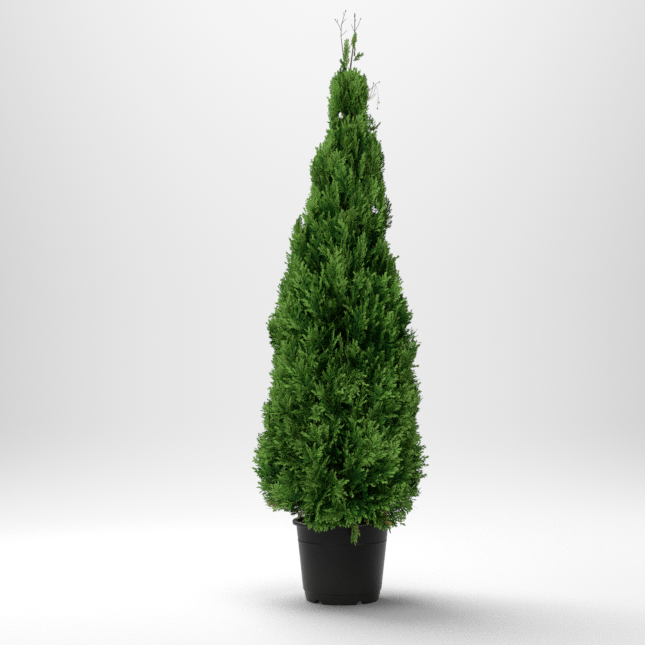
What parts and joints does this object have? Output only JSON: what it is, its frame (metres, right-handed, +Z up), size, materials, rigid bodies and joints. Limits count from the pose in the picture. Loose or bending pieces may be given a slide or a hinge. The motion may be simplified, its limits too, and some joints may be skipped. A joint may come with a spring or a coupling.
{
  "type": "potted emerald green arborvitae",
  "caption": "Potted conifer: a tall narrow cone of upswept foliage round one stem, bare twigs at the tip, in a round tapered nursery pot.",
  "frame": {"origin": "middle of the flat underside of the pot, on the ground", "axes": "+Z up, -Y towards the viewer of the picture, +X to the viewer's right"},
  "size_m": [0.5435, 0.5558, 1.8817],
  "materials": {
    "pot_plastic": "matt black moulded plastic",
    "peat": "dark crumbly compost",
    "bark": "thin reddish brown bark",
    "foliage": "satin green scale leaves"
  },
  "bodies": {
    "root": {"bough_dry_twig": "bark", "bough_over_rim": "bark", "bough_second_leader": "bark", "foliage_chest_back": "foliage", "foliage_chest_back_right": "foliage", "foliage_chest_front": "foliage", "foliage_chest_front_right": "foliage", "foliage_chest_left": "foliage", "foliage_collar_back_left": "foliage", "foliage_collar_back_right": "foliage", "foliage_collar_front": "foliage", "foliage_crest_back_right": "foliage", "foliage_crest_front_right": "foliage", "foliage_crest_left": "foliage", "foliage_hip_back_left": "foliage", "foliage_hip_back_right": "foliage", "foliage_hip_front_left": "foliage", "foliage_hip_front_right": "foliage", "foliage_hip_left": "foliage", "foliage_hip_right": "foliage", "foliage_leader_left": "foliage", "foliage_leader_right": "foliage", "foliage_neck_back": "foliage", "foliage_neck_front": "foliage", "foliage_neck_left": "foliage", "foliage_neck_right": "foliage", "foliage_shoulder_back_left": "foliage", "foliage_shoulder_back_right": "foliage", "foliage_shoulder_front_left": "foliage", "foliage_shoulder_front_right": "foliage", "foliage_skirt_back": "foliage", "foliage_skirt_back_left": "foliage", "foliage_skirt_back_right": "foliage", "foliage_skirt_front": "foliage", "foliage_skirt_front_left": "foliage", "foliage_skirt_front_right": "foliage", "foliage_waist_back": "foliage", "foliage_waist_back_left": "foliage", "foliage_waist_front": "foliage", "foliage_waist_front_left": "foliage", "foliage_waist_right": "foliage", "pot": "pot_plastic", "soil": "peat", "trunk": "bark", "twigs_dry": "bark", "twigs_second_leader": "bark"}
  },
  "joints": []
}
